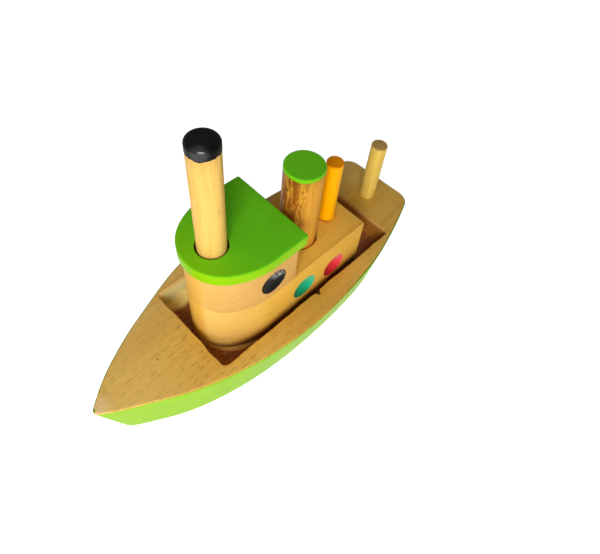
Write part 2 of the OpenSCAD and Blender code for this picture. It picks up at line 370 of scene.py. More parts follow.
class Nodes:
    """Adds the nodes of a material or a world and joins them. What goes into a node is a number, a vector, a
    colour or the output of another node."""

    def __init__(self, owner):
        owner.use_nodes = True
        self.tree = owner.node_tree
        self.tree.nodes.clear()

    def node(self, kind, inputs=None, **settings):
        """Adds a node. inputs goes by each socket's name or number."""
        made = self.tree.nodes.new("ShaderNode" + kind)
        row, column = divmod(len(self.tree.nodes), 8)
        made.location = (260 * column, -220 * row)
        for key, value in settings.items():
            setattr(made, key, value)
        for key, value in (inputs or {}).items():
            self.join(value, made.inputs[key])
        return made

    def join(self, value, socket):
        """Links an output to a socket, or sets the socket's own value."""
        if isinstance(value, bpy.types.NodeSocket):
            self.tree.links.new(value, socket)
        elif socket.type == "RGBA":
            socket.default_value = (*value[:3], 1.0)
        else:
            socket.default_value = value

    def math(self, operation, a, b=0.0, c=0.0):
        """A sum of numbers; c is for MULTIPLY_ADD only, which gives a * b + c."""
        made = self.node("Math", {0: a, 1: b}, operation=operation)
        if operation == "MULTIPLY_ADD":
            self.join(c, made.inputs[2])
        return made.outputs[0]

    def vector(self, operation, a, b=(0.0, 0.0, 0.0)):
        """A sum of vectors. It gives a number for a length, a distance or a dot product, or else a vector."""
        made = self.node("VectorMath", {0: a, 1: b}, operation=operation)
        return made.outputs["Value" if operation in ("LENGTH", "DISTANCE", "DOT_PRODUCT") else "Vector"]

    def band(self, value, low, high, start=0.0, end=1.0):
        """value from low..high onto start..end, held at both ends, with a soft change."""
        inputs = {0: value, 1: low, 2: high, 3: start, 4: end}
        return self.node("MapRange", inputs, interpolation_type="SMOOTHSTEP", clamp=True).outputs[0]

    def mix(self, share, a, b, blend="MIX"):
        """The colour a with a share of b. The node has its two colours at 6 and 7 and the mixture at 2."""
        return self.node("Mix", {0: share, 6: a, 7: b}, data_type="RGBA", blend_type=blend).outputs[2]

    def noise(self, vector, scale, detail=2.0, rough=0.5):
        """Cloudy noise, about 0.5 on average."""
        inputs = {"Vector": vector, "Scale": scale, "Detail": detail, "Roughness": rough}
        return self.node("TexNoise", inputs).outputs["Fac"]

    def squashed(self, place, sizes, detail=2.0, rough=0.5):
        """Noise whose scale along each axis is given by sizes, per millimetre."""
        return self.noise(self.vector("MULTIPLY", place, sizes), 1.0, detail, rough)

    def place(self):
        """The point on the piece in millimetres, in the frame of the boat."""
        return self.vector("MULTIPLY", self.node("TexCoord").outputs["Object"], (1 / MM, 1 / MM, 1 / MM))

    def wear(self):
        """The wear that the shape gives to its points."""
        return self.node("Attribute", attribute_name="wear").outputs["Fac"]

    def seen(self):
        """1 for rays that show the pale background: the camera's, mirrored ones and those through glass."""
        path = self.node("LightPath").outputs
        indirect = self.math("MAXIMUM", path["Is Glossy Ray"], path["Is Transmission Ray"])
        return self.math("MAXIMUM", path["Is Camera Ray"], indirect)

    def near(self, place, spot, low, high):
        """1 up to low from a spot and 0 from high outwards. Where a spot is two places and a length, it is
        the line between them, and past the first place the reach is shorter by the length."""
        if not isinstance(spot[0], tuple):
            return self.band(self.vector("DISTANCE", place, spot), low, high, 1.0, 0.0)
        start, end, shorter = Vector(spot[0]), Vector(spot[1]), spot[2]
        way = end - start
        off = self.vector("SUBTRACT", place, start)
        along = self.vector("DOT_PRODUCT", off, way / way.length_squared)
        inputs = {0: way, "Scale": self.band(along, 0.0, 1.0)}
        foot = self.node("VectorMath", inputs, operation="SCALE").outputs[0]
        far = self.math("ADD", self.vector("DISTANCE", off, foot), self.band(along, 0.0, 0.06, 0.0, shorter))
        return self.band(far, low, high, 1.0, 0.0)

    def aged_and_shaded(self, tone, place, fades=(), spots=()):
        """Lays fades (direction, full at, gone at, colour, share) and spots (place, inner reach, outer reach,
        colour, share) over a colour. They stand for real marks and for painted light and shade."""
        for direction, low, high, shade, share in fades:
            width = high - low
            along = self.vector("DOT_PRODUCT", place, direction)
            along = self.math("MULTIPLY_ADD", self.noise(place, 0.4, 3.0), 0.3 * width, along)
            tone = self.mix(self.band(along, low, low + 1.3 * width, share, 0.0), tone, linear(*shade))
        for spot, low, high, shade, share in spots:
            cover = self.math("MULTIPLY", self.near(place, spot, low, high), share)
            tone = self.mix(cover, tone, linear(*shade))
        return tone


class Finish(Nodes):
    """The nodes of one material, round its main shader."""

    def __init__(self, name):
        self.material = bpy.data.materials.new(name)
        super().__init__(self.material)
        self.shader = self.node("BsdfPrincipled")
        self.output = self.node("OutputMaterial", {"Surface": self.shader.outputs[0]})

    def feed(self, **values):
        """Joins values to the main shader. An underscore stands for a space in a socket's name."""
        for key, value in values.items():
            self.join(value, self.shader.inputs[key.replace("_", " ")])

    def bump(self, height, strength, depth):
        """Gives the surface a relief; depth is in millimetres."""
        made = self.node("Bump", {"Height": height, "Strength": strength, "Distance": depth * MM})
        self.feed(Normal=made.outputs[0])


def grain(
    n, light, dark, upright=False, shift=(0, 0, 0), heart=(-55, -38), gap=2.7, figure=0.16, marks=1.0,
    mark=(92, 52, 18)
):
    """Beech as a solid: growth rings, gap apart, round a far heart, long fibres, and the short dark rays that
    mark beech. figure is the strength of the rings, and marks that of the rays, whose colour is mark. Returns
    the colour, the height of the surface, the fibres and the place on the piece."""
    inputs = {
        "Vector": n.node("TexCoord").outputs["Object"],
        "Location": shift,
        "Rotation": (0, RIGHT_ANGLE, 0) if upright else (0, 0, 0),
        "Scale": (1 / MM, 1 / MM, 1 / MM),
    }
    place = n.node("Mapping", inputs).outputs[0]

    # The rings bend by up to about 4 mm in a slow drift.
    slow = n.vector("MULTIPLY", place, (0.012, 0.05, 0.05))
    drift = n.node("TexNoise", {"Vector": slow, "Scale": 1.0, "Detail": 2.0}).outputs["Color"]
    drift = n.vector("MULTIPLY", n.vector("SUBTRACT", drift, (0.5, 0.5, 0.5)), (9, 9, 9))
    bent = n.vector("SUBTRACT", n.vector("ADD", drift, place), (0, *heart))
    saw_teeth = {"wave_type": "RINGS", "rings_direction": "X", "wave_profile": "SAW"}
    scale = TURN / WAVE_RINGS / gap
    inputs = {"Vector": bent, "Scale": scale, "Distortion": 0.6, "Detail": 2.0, "Detail Scale": 1.4}
    rings = n.math("POWER", n.node("TexWave", inputs, **saw_teeth).outputs["Fac"], 3.0)

    broad = n.squashed(place, (0.014, 0.09, 0.09), 3.0)
    fibre = n.squashed(place, ALONG_X, 4.0, 0.62)
    pores = n.squashed(place, (0.35, 5.0, 5.0))

    # A ray is a short dash in the middle of a cell, and in some cells there is none.
    packed = n.vector("MULTIPLY", place, (0.21, 1.05, 1.05))
    cells = n.node("TexVoronoi", {"Vector": packed, "Scale": 1.0, "Randomness": 0.9}, feature="F1")
    chance = n.node("SeparateColor", {0: cells.outputs["Color"]}).outputs[0]
    away = n.vector("SUBTRACT", packed, cells.outputs["Position"])
    away = n.vector("LENGTH", n.vector("MULTIPLY", away, (1.0, 3.6, 0.7)))
    rays = n.band(n.math("SUBTRACT", n.band(chance, 0.0, 0.8, 0.1, 0.42), away), 0.0, 0.08)
    along = n.node("SeparateXYZ", {0: n.place()}).outputs[0]  # they are plainer towards the bow
    rays = n.math("MULTIPLY", rays, n.band(along, -30, 35, 0.3 * marks, marks))

    tone = n.mix(n.band(broad, 0.3, 0.72, 0.1, 0.8), light, dark)
    tone = n.mix(n.math("MULTIPLY", rings, figure), tone, dark, "MULTIPLY")
    tone = n.mix(n.band(fibre, 0.35, 0.75, 0.0, 0.32), tone, dark)
    tone = n.mix(n.band(pores, 0.56, 0.72, 0.0, 0.45), tone, dark, "MULTIPLY")
    tone = n.mix(n.math("MULTIPLY", rays, 0.85), tone, linear(*mark))
    height = n.math("MULTIPLY_ADD", fibre, 0.5, n.math("MULTIPLY", rings, 0.25))
    height = n.math("MULTIPLY_ADD", rays, -0.9, height)
    return tone, height, fibre, n.place()


def wood(name, light, dark, rough=0.46, relief=0.35, spots=(), fades=(), saw=0.0, stain=None, **figure):
    """A bare or thinly varnished wood. saw is the strength of upright saw marks, and stain is (place on the
    axis, direction, from, to, colour)."""
    n = Finish(name)
    tone, height, fibre, place = grain(n, light, dark, **figure)
    if saw:
        streaks = n.squashed(place, (0.9, 0.9, 0.09), 4.0, 0.7)
        tone = n.mix(n.band(streaks, 0.42, 0.66, 0.0, saw), tone, dark)
        height = n.math("MULTIPLY_ADD", streaks, 1.5, height)
    if stain is not None:
        centre, direction, low, high, shade = stain
        side = n.vector("DOT_PRODUCT", n.vector("SUBTRACT", place, centre), direction)
        cloud = n.squashed(place, (0.5, 0.5, 0.1), 4.0, 0.65)
        reach = n.math("MULTIPLY", n.band(side, low, high), n.band(cloud, 0.36, 0.62))
        tone = n.mix(n.math("MULTIPLY", reach, 0.85), tone, shade)
        dashes = n.band(n.squashed(place, (1.6, 1.6, 0.36)), 0.6, 0.65)
        dashes = n.math("MULTIPLY", dashes, n.band(side, low - 4, high, 0.0, 0.9))
        tone = n.mix(dashes, tone, shaded(shade, 0.4))
    # Used edges turn paler: rubbed wood, and a painted highlight along the edge.
    tone = n.mix(n.math("MULTIPLY", n.wear(), 0.3), tone, linear(*RUBBED_AND_LIT))
    tone = n.aged_and_shaded(tone, place, fades, spots)
    gloss = n.band(fibre, 0.3, 0.8, rough - 0.06, rough + 0.1)
    n.feed(Base_Color=tone, Roughness=gloss, Specular_IOR_Level=BARE_SHINE)
    n.bump(height, relief, 0.12)
    return n.material


def paint(
    name, shade, rough=0.34, upright=False, relief=0.12, bare=None, tint=0.1, coat=0.0, polish=None,
    specks=0.0, glints=None, fades=()
):
    """Brushed paint on wood: the grain telegraphs through, the colour pools a little, and edges wear through
    to bare wood. The glint patch (place, inner reach, outer reach) is painted glints, pale reflections broken
    like scratches; polish is that of the only part with a coat."""
    n = Finish(name)
    place = n.place()
    fibre = n.squashed(place, ALONG_Z if upright else ALONG_X, 4.0, 0.6)
    pool, fine = n.noise(place, 0.07, 3.0), n.noise(place, 1.3, 3.0)
    deep, lit = shaded(shade, 0.72), tuple(min(1.0, c * 1.12 + 0.01) for c in shade)
    tone = n.mix(n.band(pool, 0.35, 0.7, 0.0, tint * 3), shade, deep)
    tone = n.mix(n.band(fine, 0.5, 0.75, 0.0, tint), tone, lit)
    tone = n.mix(n.band(fibre, 0.55, 0.8, 0.0, tint), tone, deep)
    gloss = n.band(fine, 0.3, 0.7, rough - 0.05, rough + 0.08)
    if specks:
        dust = n.node("TexVoronoi", {"Vector": place, "Scale": 0.22}, feature="F1").outputs["Distance"]
        dust = n.math("MULTIPLY", n.band(dust, 0.05, 0.09, 1.0, 0.0), specks)
        tone = n.mix(dust, tone, shaded(shade, 0.35))
    tone = n.aged_and_shaded(tone, place, fades)
    if glints is not None:
        # Painted glints: pale reflections in the gloss, broken like scratches.
        broken = n.band(n.squashed(place, (1.0, 1.0, 1.8), 5.0, 0.75), 0.5, 0.57)
        tone = n.mix(n.math("MULTIPLY", broken, n.near(place, *glints)), tone, linear(*GLINT))
    if bare is not None:
        chips = n.squashed(place, (0.25, 0.6, 1.2), 4.0, 0.65)
        worn = n.band(n.math("MULTIPLY_ADD", chips, 0.7, n.wear()), 0.9, 0.97)
        tone = n.mix(worn, tone, bare)
        gloss = n.math("MULTIPLY_ADD", worn, 0.2, gloss)
    n.feed(Base_Color=tone, Roughness=gloss, Specular_IOR_Level=PAINT_SHINE, Coat_Roughness=COAT_ROUGH)
    n.feed(Coat_Weight=coat if polish is None else n.math("MULTIPLY", n.near(place, *polish), coat))
    n.bump(n.math("MULTIPLY_ADD", fine, 0.5, fibre), relief, 0.1)
    return n.material


# ---------------------------------------------------------------- hull

HULL_STEPS = {"aft": 56, "corner": 18, "transom": 14, "stem": 4, "stem_edge": 7, "fore": 76}
BOTTOM_STEPS, SIDE_STRIPS, DECK_STEPS = 5, 9, 6
WELL_CORNERS = (3.0, 2.2, 3.0, 2.0)  # radii: fore port, aft port, aft starboard, fore starboard
WELL_RUNS = (150, 66, 150, 66)  # points along the port side, aft end, starboard side and fore end
WELL_CORNER_STEPS = 9
THIN_KEEP, THIN_REACH = 0.9, 3.5  # how far the wall keeps back from the thin side, and over what length
NICK_X, NICK_HALF, NICK_DEPTH = -10.8, 1.1, 1.9
# The rim's wear pales its edge: rubbed wood, and a painted highlight along it.
RIM_LEVELS = (  # (share of the way from the rim to the wall, depth, wear)
    (0.0, 0.0, 0.3),
    (0.03, 0.12, 0.6),
    (0.15, 0.4, 1.0),
    (0.45, 0.8, 1.0),
    (0.8, 1.2, 0.8),
    (1.0, 1.8, 0.4),
)
GLUE_GAP, GLUE_POCKET = 0.05, 0.5
PEG_MOUTH = 0.08  # rounding of a glued peg's bore
STERN_PEG_BORE = 14  # its depth


def hull_outline(hull, inset, low=0.0):
    """The hull's outline drawn in by inset, counter-clockwise from the greatest beam to port. All arcs touch.
    low is 1 at the bottom and 0 at the deck, for what the sander took off."""
    steps = HULL_STEPS
    half, ahead, edge = mm(hull.beam) / 2, mm(hull.hull_l) / 2, mm(hull.stem_r)
    beam_x = -ahead + mm(hull.aft_l)
    rise = half - mm(hull.stem_flat) / 2
    fore_r = ((ahead - beam_x) ** 2 + rise**2) / (2 * rise)
    stem_y = math.sqrt((fore_r - edge) ** 2 - (ahead - edge - beam_x) ** 2) - (fore_r - half)
    stem_x = beam_x + edge + math.sqrt((fore_r - inset - edge) ** 2 - (stem_y + fore_r - half) ** 2)
    turn = math.atan2(stem_y + fore_r - half, stem_x - edge - beam_x)
    sides = {}
    for side in (1, -1):
        drop = half - mm(hull.transom_w) / 2 - side * mm(hull.stern_off)
        aft_r = (mm(hull.aft_l) ** 2 + drop**2) / (2 * drop)
        corner = mm(hull.corner_r)
        corner_x = -ahead + corner
        corner_y = math.sqrt((aft_r - corner) ** 2 - (beam_x - corner_x) ** 2) - (aft_r - half)
        bend = math.atan2(corner_y + aft_r - half, corner_x - beam_x)
        aft = arc(beam_x, half - aft_r, aft_r - inset, RIGHT_ANGLE, bend, steps["aft"], False)
        aft += arc(corner_x, corner_y, corner - inset, bend, math.pi, steps["corner"], False)
        sides[side] = aft + [(corner_x - corner + inset, corner_y)]
    fore = [(stem_x, stem_y)] + arc(stem_x - edge, stem_y, edge, 0, turn, steps["stem_edge"])[1:]
    fore += arc(beam_x, half - fore_r, fore_r - inset, turn, RIGHT_ANGLE, steps["fore"])[1:-1]
    port = sides[1]
    starboard = [(x, -y) for x, y in sides[-1]]
    points = port + straight(port[-1], starboard[-1], steps["transom"])[1:] + starboard[::-1]
    points += [(x, -y) for x, y in fore[::-1]]
    points += straight((stem_x, -stem_y), (stem_x, stem_y), steps["stem"])[1:] + fore
    return [(x, y + sawn(x, y) + sanded(x, y, low)) for x, y in points]


def sawn(x, y):
    """How far the saw wandered to port of the line at a place on the outline."""
    if y >= 0:
        quarter_out, bow_in = 0.35 * swell(x, -50, 13), 0.6 * swell(x, 76, 8)
        return quarter_out - bow_in
    bow_in = 0.9 * swell(x, 50, 15)
    bow_out = 0.4 * smooth(5, 30, x) * smooth(94, 86, x)
    stem_out = 0.35 * swell(x, 82, 7)
    return bow_in - bow_out - stem_out


def sanded(x, y, low):
    """How far the sander drew the bottom edge in amidships, and left it full towards the ends."""
    most, left = 2.7, 0.65
    drawn = most * smooth(78, 2, x) * smooth(-68, 2, x) - left
    return -math.copysign(low * smooth(0.5, 6, abs(y)), y) * drawn


def hull_levels(hull):
    """(inset, height, wear, lowness) of each level from the bottom to the deck."""
    ease, top, flare = mm(hull.ease), mm(hull.height), mm(hull.flare)
    bottom, deck = quarter(BOTTOM_STEPS), quarter(DECK_STEPS)
    levels = [(flare + ease * (1 - up), ease * into, 0.75 * (1 - up), 1.0) for into, up in bottom]
    for i in range(1, SIDE_STRIPS):
        t = i / SIDE_STRIPS
        levels.append((flare * (1 - t), ease + (top - 2 * ease) * t, 0.0, 1 - t))
    levels += [(ease * into, top - ease * (1 - up), 0.35 + 0.65 * up, 0.0) for into, up in deck]
    levels.append((ease + 0.25, top, 1.0, 0.0))
    return levels


def edge_wear(x, y):
    """How hard an edge was used: most at the bow to port."""
    return 0.3 + 0.7 * smooth(48, 78, x) if y > 0 else 0.4 + 0.2 * smooth(70, 90, x)


def well_loop(hull):
    """The well's outline in its own frame, counter-clockwise from the fore port corner."""
    x, y = mm(hull.well_l) / 2, mm(hull.well_w) / 2
    bends = []
    for sx, sy, turn, r in zip((1, -1, -1, 1), (1, 1, -1, -1), (0, 90, 180, 270), WELL_CORNERS):
        start, end = math.radians(turn), math.radians(turn + 90)
        bends.append(arc(sx * (x - r), sy * (y - r), r, start, end, WELL_CORNER_STEPS))
    points = []
    for bend, following, run in zip(bends, bends[1:] + bends[:1], WELL_RUNS):
        points += bend[:-1] + straight(bend[-1], following[0], run)
    return points


def well_rings(shape, hull):
    """The well's rim, walls and floor. The rim is ragged at the fore end and to port, where it has a nick.
    Below it the corner keeps clear of the thin side of the starboard bow."""
    top, floor = mm(hull.height), mm(hull.height - hull.well_depth)
    fore_end, port_side = mm(hull.well_l) / 2, mm(hull.well_w) / 2
    thin = well_place(hull, fore_end, -port_side)
    wall, rim = [], []
    for x, y in well_loop(hull):
        px, py = well_place(hull, x, y)
        keep = THIN_KEEP * swell(math.dist((px, py), thin), 0, THIN_REACH)
        wall.append((px - 0.71 * keep, py + 0.71 * keep))  # aft and to port
        rough_x = ripple(px, py, 3.0, 0.16, 0.45) + ripple(px, py, 9.0, 0.6, 0.22)
        rough_y = ripple(px, py, 5.0, 0.13, 0.4) + ripple(px, py, 7.0, 0.7, 0.2)
        on_fore, on_port = x > fore_end - 1, y > port_side - 1
        nick = NICK_DEPTH * math.exp(-(((px - NICK_X) / NICK_HALF) ** 4)) if on_port else 0.0
        rim.append((px + rough_x * (1 if on_fore else 0.25), py + nick + rough_y * (1 if on_port else 0.2)))

    flat = []  # 0.3 mm outside the rim
    for i, (x, y) in enumerate(rim):
        (ax, ay), (bx, by) = rim[i - 3], rim[(i + 3) % len(rim)]
        run = math.dist((ax, ay), (bx, by)) / 0.3
        flat.append((x + (by - ay) / run, y - (bx - ax) / run, top))
    rings = [shape.ring(flat, 0.0)]
    for share, depth, wear in RIM_LEVELS:
        level = [(rx + (wx - rx) * share, ry + (wy - ry) * share) for (rx, ry), (wx, wy) in zip(rim, wall)]
        rings.append(shape.ring([(x, y, top - depth) for x, y in level], wear))
    for up in (5, 0.5):
        rings.append(shape.ring([(x, y, floor + up) for x, y in wall]))
    middle = well_place(hull, 0, 0)
    for inset, up in ((0.15, 0.15), (0.5, 0.0)):
        drawn = []
        for x, y in wall:
            away = math.dist((x, y), middle)
            drawn.append((x + (middle[0] - x) / away * inset, y + (middle[1] - y) / away * inset, floor + up))
        rings.append(shape.ring(drawn))
    return rings


def bore_rings(shape, x, y, r, top, depth, rounding=0.25, count=72):
    """A blind bore with a softened mouth. Returns its rings, from the mouth to the rim of its bottom."""
    levels = [(r + rounding + 0.2, top), (r + rounding, top), (r + rounding * 0.3, top - rounding * 0.3)]
    levels += [(r, top - rounding), (r, top - depth + 0.3), (r - 0.3, top - depth)]
    return [shape.circle(x, y, q, z, count) for q, z in levels]


def sink(shape, rings, finish=0):
    """Skins a blind bore and closes its bottom."""
    shape.skin(rings, finish)
    last = rings[-1]
    shape.fan(last, sum((shape.points[i] for i in last), Vector()) / len(last), finish)


class BOAT_OT_hull(bpy.types.Operator):
    """Shapes the hull with its worn well and finishes it in varnished beech and light green paint"""

    bl_idname = "boat.hull"
    bl_label = "Hull"

    def execute(self, context):
        hull, cabin, hues = settings_of(context.scene)
        deck = wood(
            "varnished_deck", hues.deck, hues.deck_dark, shift=(31, 12, 5), heart=(-70, -52),
            spots=[
                ((63.1, -0.4, 34), 0.1, 0.55, (84, 44, 20), 0.9),  # a pit in the fore deck
                ((-6.2, 32.1, 34), 0.1, 0.5, (70, 40, 20), 0.9),  # a pit in the side deck
                ((91.5, 0.0, 34), 1.0, 7.0, (236, 204, 160), 0.5),  # the rubbed stem
                ((-4, 32, 34), 8.0, 40.0, (196, 134, 46), 0.35),  # the darker side deck
            ],
            fades=[((0, 1, 0), -22, 2, (218, 180, 112), 0.4)],  # the paler starboard side
        )
        # The walls are paler than the floor of the same wood: painted light.
        walls = wood(
            "sawn_well_walls", hues.well_wall, shaded(hues.well_wall, 0.8), rough=0.62, relief=0.8,
            shift=(3, 40, 9), saw=0.38, marks=0.2,
            fades=[
                ((1, 0, 0), -54, -38, (178, 118, 44), 1.0),  # painted shade over the aft end
                ((0, 0, 1), 33.4, 31.2, (228, 182, 104), 0.8),  # the deck's varnish over the rim, and along the top of the shaded aft end painted light
            ],
            spots=[((-10.8, 26.0, 33.5), 1.6, 3.0, (92, 52, 22), 0.95)],  # painted shade in the nick
        )
        level = mm(hull.height - hull.well_depth)
        # The floor round and under the nose is lightened: painted light reflected from the nose.
        fore = well_place(hull, mm(cabin.fore_x - cabin.nose_r), 2)
        aft = well_place(hull, mm(cabin.fore_x - cabin.deckhouse_l) + 16.5, 0)
        nose_bounce, glow = ((*fore, level), (*aft, level), 3.4), mm(cabin.nose_r) - 0.5
        # The floor is darker and redder than the walls: stain, and painted shade.
        floor = wood(
            "stained_and_shaded_well_floor", hues.well, shaded(hues.well, 0.6), rough=0.5, relief=0.7, shift=(3, 40, 9),
            figure=0.4,
            spots=[
                ((35.0, -27.0, 22), 6.5, 9.5, (255, 228, 140), 0.9),  # the pale fore starboard corner: raw wood, and painted light where the floor lies in shade
                (nose_bounce, glow, glow + 1.6, (255, 196, 104), 0.7),  # painted light reflected from the nose on to the floor, carried on under the cabin
                ((37.7, 13.0, 22), 0.3, 1.3, (190, 140, 96), 0.7),  # a pale fleck
            ],
        )
        green = paint(
            "hull_green", hues.hull_paint, rough=0.4, bare=linear(244, 208, 124), relief=0.1, tint=0.06,
            fades=[((0, 0, 1), 33.8, 33.3, (60, 100, 30), 0.7)],  # painted shade along the top of the sides, at the deck's edge
        )
        on_deck, on_wall, on_side, on_floor = range(4)
        shape = Shape()
        sides = []
        for inset, z, wear, low in hull_levels(hull):
            outline = hull_outline(hull, inset, low)
            worn = [wear * edge_wear(x, y) for x, y in outline]
            sides.append(shape.ring([(x, y, z) for x, y in outline], worn))
        shape.skin(sides[:-5], on_side)
        for step, start in enumerate((-30, -20, -10), len(sides) - 6):
            # The paint reaches on to the deck's edge, but past start it is worn off the port bow.
            edge = [on_deck if y > 0 and x > start else on_side for x, y in outline]
            shape.bridge(sides[step], sides[step + 1], edge)
        shape.skin(sides[-3:], on_deck)
        shape.plate(sides[0], [], on_side)
        well = well_rings(shape, hull)
        shape.skin(well[:2], on_deck)
        shape.skin(well[1:], on_wall)
        shape.plate(well[-1], [], on_floor)
        peg = round_node("stern_peg")
        bore = bore_rings(shape, peg.x, peg.y, peg.r + GLUE_GAP, mm(hull.height), STERN_PEG_BORE, PEG_MOUTH)
        sink(shape, bore)
        shape.plate(sides[-1], [well[0], bore[0]], on_deck)
        piece = shape.build("hull_block", [deck, walls, green, floor])
        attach(piece, "hull")
        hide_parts("hull")
        return {"FINISHED"}


# ---------------------------------------------------------------- cabin

FRONT_STEPS = {"edge": 6, "back": 22, "shoulder": 18, "nose": 36}
SPACING = 1.6  # of the points along a straight side
DISH_LIP = ((0.45, 0.0), (0.22, 0.0), (0.07, 0.03), (-0.06, 0.11))  # (outwards from the rim, sunk)
DISH_SHARES = (0.955, 0.88, 0.78, 0.66, 0.53, 0.39, 0.24, 0.1)  # of the radius, from the edge to the middle
DISH_POINTS, DISH_HALVINGS = 64, 24
WALL_ROWS = 14  # of points on the plate that has the portholes
HOLE_MARGIN = 2.9  # from a porthole to the end of its plate
RIM_STEP = 0.15  # from an eased edge to the plate that it ends at


class Front:
    """The outline shared by the cabin's blocks and the roof, in the well's frame: straight sides, two
    shoulders and a nose."""

    def __init__(self, cabin, aft, over=0.0, corner=0.7):
        self.aft, self.corner = aft, corner
        self.half = mm(cabin.width) / 2 + over
        self.shoulder = mm(cabin.shoulder_r) + over
        self.nose = mm(cabin.nose_r) + over
        self.shoulder_x = mm(cabin.fore_x) - mm(cabin.nose_l)
        self.nose_x = mm(cabin.fore_x) - mm(cabin.nose_r)
        self.turn = math.atan2(self.shoulder - self.half, self.nose_x - self.shoulder_x)

    def loop(self):
        """(x, y, out x, out y) of each point, counter-clockwise from the port shoulder. An eased edge draws
        in against (out x, out y), which on the shoulders leans further forward than the wall faces."""
        steps = FRONT_STEPS
        c, half, aft = self.corner, self.half, self.aft
        run = max(6, round((self.shoulder_x - aft) / SPACING))
        port = [(x, half, 0, 1) for x, _ in straight((self.shoulder_x, half), (aft + c, half), run)]
        for i in range(steps["edge"] + 1):
            a = RIGHT_ANGLE + RIGHT_ANGLE / steps["edge"] * i
            port.append((aft + c + c * math.cos(a), half - c + c * math.sin(a), math.cos(a), math.sin(a)))
        back = [(aft, y, -1, 0) for _, y in straight((0, half - c), (0, -half + c), steps["back"])[1:]]
        starboard = [(x, -y, nx, -ny) for x, y, nx, ny in port[::-1]]

        rise, start, turn = self.shoulder - half, -RIGHT_ANGLE, self.turn
        shoulder = arc(self.shoulder_x, rise, self.shoulder, start, -turn, steps["shoulder"], False)[1:]
        nose = arc(self.nose_x, 0, self.nose, -turn, turn, steps["nose"] + 1)
        front = []
        for part in (shoulder, nose, [(x, -y) for x, y in shoulder[::-1]]):
            for x, y in part:
                cx, cy = (self.nose_x, 0) if part is nose else (self.shoulder_x, math.copysign(rise, y))
                away = math.dist((x, y), (cx, cy))
                front.append((x, y, (x - cx) / away, (y - cy) / away))
        return port + back + starboard + front

    def wall_y(self, x):
        """Half breadth of the block at x."""
        if x <= self.shoulder_x:
            return self.half
        return math.sqrt(self.shoulder**2 - (x - self.shoulder_x) ** 2) - (self.shoulder - self.half)


def dish(shape, front, side, x0, z0, r, depth):
    """A dished porthole in a side wall. Returns its rings and its middle. The wall's plate ends at the first
    ring."""
    dish_r = (r**2 + depth**2) / (2 * depth)

    def dish_y(q):
        return front.half - depth + dish_r - math.sqrt(dish_r**2 - q**2)

    rim = []  # the angle, and how far out the dish meets the wall
    for i in range(DISH_POINTS):
        a = TURN * i / DISH_POINTS
        low, high = 0.3 * r, r
        for _ in range(DISH_HALVINGS):
            q = (low + high) / 2
            low, high = (q, high) if dish_y(q) < front.wall_y(x0 + q * math.cos(a)) else (low, q)
        rim.append((a, high))

    rings = []
    for change, sunk in DISH_LIP:
        places = [(x0 + (q + change) * math.cos(a), z0 + (q + change) * math.sin(a)) for a, q in rim]
        rings.append(shape.ring([(x, side * (front.wall_y(x) - sunk), z) for x, z in places]))
    for share in DISH_SHARES:
        inward = [(a, q * share) for a, q in rim]
        points = [(x0 + q * math.cos(a), side * dish_y(q), z0 + q * math.sin(a)) for a, q in inward]
        rings.append(shape.ring(points))
    return rings, (x0, side * (front.half - depth), z0)


def porthole(cabin, at, aft, low, finish):
    """(x, z, radius, depth, finish) of a porthole, placed from the aft face and the foot of its block."""
    return aft + mm(at[0]), low + mm(at[1]), mm(cabin.port_d) / 2, mm(cabin.port_depth), finish


def eased(shape, loop, eases, share, height, rise, wear=0.0):
    """A ring of the outline, drawn in by a share of each point's easing and raised by another share of it."""
    points = []
    for (x, y, nx, ny), e in zip(loop, eases):
        points.append((x - nx * e * share, y - ny * e * share, height + e * rise))
    return shape.ring(points, wear)


